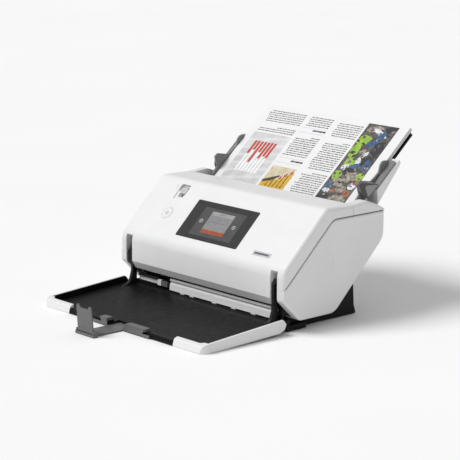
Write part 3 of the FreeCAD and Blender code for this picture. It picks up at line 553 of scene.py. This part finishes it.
def display_graphics():
    """The lit page of the display: a window with a header and one warm bar, and two round keys."""
    window = glowing("display_window", (0.17, 0.17, 0.175), 0.4)
    header = glowing("display_header", (0.23, 0.23, 0.235), 0.42)
    faint = glowing("display_faint", (0.12, 0.12, 0.125), 0.4)
    warm = glowing("display_warm", (0.26, 0.050, 0.010), 0.3)
    light = glowing("display_light", (0.5, 0.5, 0.5), 0.4)
    art = Piece("display_graphics")
    art.decal(FACE, rectangle(-27, 23.5, 31, 62), GLASS_LEVEL + 0.02, window)
    art.decal(FACE, rectangle(-27, 54.5, 31, 62), GLASS_LEVEL + 0.03, header)
    for left, right, v in [(-6, 8, 57.5), (-3, 6, 47), (-16, 20, 40)]:
        art.decal(FACE, rectangle(left, v, right, v + 1.5), GLASS_LEVEL + 0.04, faint)
    art.decal(FACE, rectangle(-26.5, 16, 32, 23.5), GLASS_LEVEL + 0.03, warm)
    for x, v in DISPLAY_KEYS:
        for band in arc_band(x, v, 2.8, 3.7, 0, 360):
            art.decal(FACE, band, GLASS_LEVEL + 0.03, light)
        art.decal(FACE, rectangle(x - 1.4, v - 0.4, x + 1.4, v + 0.4), GLASS_LEVEL + 0.03, light)
    art.done("upper_unit")


BUTTON_AT = (-135.0, 39.0)
BUTTON_TOP = 0.4
LABEL_TOP = 0.5
INK = 0.02


def power_mark():
    """The usual broken ring with a bar, printed on the button's cap."""
    ink = printed("mark_ink", (0.10, 0.10, 0.105), 8, 0.05)
    mark = Piece("power_mark")
    x, v = BUTTON_AT
    level = BUTTON_TOP + INK
    for band in arc_band(x, v, 2.4, 3.3, 120, 420):
        mark.decal(FACE, band, level, ink)
    mark.decal(FACE, rectangle(x - 0.45, v + 0.8, x + 0.45, v + 3.8), level, ink)
    mark.done("power_button")


def front_marks():
    """Printed marks beside the lever."""
    ink = printed("front_ink", (0.30, 0.30, 0.305), 8, 0.05)
    marks = Piece("front_marks")
    for number, v in enumerate((90.5, 94.5, 98.5)):
        marks.decal(FACE, rectangle(-155 - number, v, -151.5, v + 0.7), INK, ink)
    marks.done("upper_unit")


def label_face():
    """The blank metal label: a darker field in a bright frame."""
    field = printed("label_field", (0.10, 0.10, 0.105), 20, 0.08, 0.3)
    label = Piece("label_field")
    label.decal(FACE, rounded(125.0, 0.9, 160.2, 4.9, 0.6), LABEL_TOP + INK, field)
    label.done("upper_unit")


def lever_floor():
    """The raised floor of the lever's well, clear of the knob's travel."""
    floor = Piece("lever_floor")
    floor.prism(FACE, rectangle(-146.2, 71.1, -139.2, 89.5), -5.4, -1.6, WHITE)
    floor.prism(FACE, rectangle(-139.2, 71.1, -122.3, 77.0), -5.4, -1.6, WHITE)
    floor.done("upper_unit")


def lever_bar():
    """The dark bar along the lever's upper edge."""
    bar = Piece("lever_bar")
    bar.prism(FACE, rectangle(-145.4, 96.9, -123.1, 98.0), -0.58, -0.1, ARM_GREY)
    bar.done("separation_lever")


display_graphics()
power_mark()
front_marks()
label_face()
lever_floor()
lever_bar()


# Guides ---------------------------------------------------------------------

FLARE_INNER = [(95, 21), (100, 31.4), (109, 30.4), (126, 9.8), (126, 3.5), (94.5, 3.5)]
FLARE_OUTER = [(190.9, 93.5, 17.2), (186.8, 101, 28.6), (187.2, 108, 27.2), (197.5, 126.5, 6),
               (198.9, 126, 3.6), (198, 94, 3.6)]
FLARE_FIELD = [(189.9, 108.1, 20.1), (197.2, 124.2, 6.0), (198.9, 124.0, 4.2), (197.8, 95.4, 5.2)]
GUIDE_OUTER_X = 185.8
FIELD_PROUD = 0.5
FIELD_LIFT = 0.35


def guide_flare(name, body, plane, side):
    """The flared outer web of an edge guide, with painted shade darkening its outer face and a lighter field
    of painted light on that face.
    """
    flare = Piece(name)
    inner = [plane.at(side * (GUIDE_OUTER_X + 0.02), v, w) for v, w in FLARE_INNER]
    outer = [plane.at(side * x, v, w) for x, v, w in FLARE_OUTER]
    flare.polygon(inner, GUIDE_GREY)
    # The outer face is darkened as painted shade.
    flare.polygon(outer, FLARE_PAINTED_SHADE)
    for i in range(len(inner)):
        j = (i + 1) % len(inner)
        flare.polygon([inner[i], inner[j], outer[j], outer[i]], GUIDE_GREY)
    # The lighter field on the outer face is painted light.
    field = [plane.at(side * (x + FIELD_PROUD), v, w + FIELD_LIFT) for x, v, w in FLARE_FIELD]
    flare.polygon(field, FLARE_PAINTED_LIGHT)
    flare.done(body)


guide_flare("right_guide_flare", "right_guide", RIGHT_GUIDE, 1)
guide_flare("left_guide_flare", "left_guide", LEFT_GUIDE, -1)


# Seam -----------------------------------------------------------------------

BODY_SIDE = 215.5
SEAM_FRONT = (7.0, 79.6)
SEAM_BACK = (236.0, 182.4)
SEAM_BEND = (125.02, 160.4)
SEAM_RADIUS = 22.0
SEAM_HALF = 0.65
ORIGIN = Vector((0, -50.314 * MM, 0))


def seam_line():
    """Depth and height of the seam, from the front edge round the bend to the back."""
    y, z = SEAM_BEND
    bend = [math.radians(133.2 - 5.4 * step) for step in range(9)]
    arc = [(y + SEAM_RADIUS * math.cos(angle), z + SEAM_RADIUS * math.sin(angle)) for angle in bend]
    return [SEAM_FRONT] + arc + [SEAM_BACK]


def seam_shadow(name, side):
    """The dark line in the gap between the cover and the side panel."""
    line = Piece(name)
    x = side * (BODY_SIDE + 0.01)
    path = seam_line()
    for (y0, z0), (y1, z1) in zip(path, path[1:]):
        step = Vector((y1 - y0, z1 - z0)).normalized() * SEAM_HALF
        corners = [(y0 - step.y, z0 + step.x), (y0 + step.y, z0 - step.x),
                   (y1 + step.y, z1 - step.x), (y1 - step.y, z1 + step.x)]
        line.polygon([SIDEWAYS * (x * MM) + ORIGIN + Vector((0, y * MM, z * MM)) for y, z in corners],
                     SEAM_SHADOW)
    line.done("root")


seam_shadow("right_seam_shadow", 1)
seam_shadow("left_seam_shadow", -1)


# Paper exit -----------------------------------------------------------------

# Left, low, right, high, and how far back from y = 0 each block starts and ends.
EXIT_BLOCKS = [
    (-184, 16, -127, 25.4, 12.8, 20, DARK),
    (-179, 25.4, -127, 33.2, 16, 20, PALE),
    (-178, 33.2, -126, 36.4, 12.8, 20, ARM_GREY),
    (-123, 24.4, -114, 34.4, 12.8, 17, WHITE),
    (-112, 24.4, -97, 33.4, 12.8, 17, GREY),
]


def exit_end():
    """The ledge, the bright gap and the small blocks at the left end of the paper exit."""
    end = Piece("exit_end")
    for left, low, right, high, front, back, finish in EXIT_BLOCKS:
        end.prism(EXIT, rectangle(left, low, right, high), -back, -front, finish)
    end.done("root")


def lip_liner():
    """The pale strip under the cover's lip, which opens with the cover."""
    lip = Piece("lip_liner")
    lip.prism(EXIT, rectangle(-91, 37.6, 171, 41.5), -17.0, -14.8, PALE)
    lip.done("upper_unit")


exit_end()
lip_liner()


# Stage --------------------------------------------------------------------

FLOOR_HALF = 20.0
SKY_STRENGTH = 0.46
LIGHT_DIRECTION = (-0.35, -0.50, 0.79)
LIGHT_STRENGTH = 2.1
LIGHT_ANGLE = 30
VIEW_ANGLES = (48.227, 12.145, 0.073)
VIEW_POINT = (2.38308, -2.10303, 0.82307)
FOCAL_LENGTH = 146.17
SENSOR_WIDTH = 36.0


def stage():
    floor_material = printed("studio_floor", (0.97, 0.97, 0.97), 400, 0.004, 0.85)
    mesh = bpy.data.meshes.new("studio_floor")
    half = FLOOR_HALF
    corners = [(-half, -half, 0), (half, -half, 0), (half, half, 0), (-half, half, 0)]
    mesh.from_pydata(corners, [], [(0, 1, 2, 3)])
    mesh.materials.append(floor_material)
    floor = bpy.data.objects.new("studio_floor", mesh)
    bpy.context.scene.collection.objects.link(floor)


def daylight(direction, strength, angle):
    """One broad distant lamp, so that its shadow is soft."""
    lamp = bpy.data.lights.new("key", "SUN")
    lamp.energy = strength
    lamp.angle = math.radians(angle)
    holder = bpy.data.objects.new("key", lamp)
    holder.rotation_euler = Vector(direction).to_track_quat("Z", "Y").to_euler()
    bpy.context.scene.collection.objects.link(holder)


def sky(strength):
    world = bpy.data.worlds.new("studio")
    world.use_nodes = True
    world.node_tree.nodes["Background"].inputs["Color"].default_value = (1, 1, 1, 1)
    world.node_tree.nodes["Background"].inputs["Strength"].default_value = strength
    bpy.context.scene.world = world


def camera():
    """Looks down on the front right corner, from well back."""
    azimuth, elevation, roll = (math.radians(angle) for angle in VIEW_ANGLES)
    back = Vector((math.sin(azimuth) * math.cos(elevation), -math.cos(azimuth) * math.cos(elevation),
                   math.sin(elevation)))
    right = Vector((math.cos(azimuth), math.sin(azimuth), 0))
    up = back.cross(right)
    turned_right = right * math.cos(roll) + up * math.sin(roll)
    turned_up = up * math.cos(roll) - right * math.sin(roll)
    lens = bpy.data.cameras.new("camera")
    lens.lens = FOCAL_LENGTH
    lens.sensor_width = SENSOR_WIDTH
    lens.clip_end = 50
    holder = bpy.data.objects.new("camera", lens)
    place = Matrix((turned_right, turned_up, back)).transposed().to_4x4()
    place.translation = Vector(VIEW_POINT)
    holder.matrix_world = place
    bpy.context.scene.collection.objects.link(holder)
    bpy.context.scene.camera = holder


stage()
sky(SKY_STRENGTH)
daylight(LIGHT_DIRECTION, LIGHT_STRENGTH, LIGHT_ANGLE)
camera()
bpy.context.scene.view_settings.view_transform = "Standard"
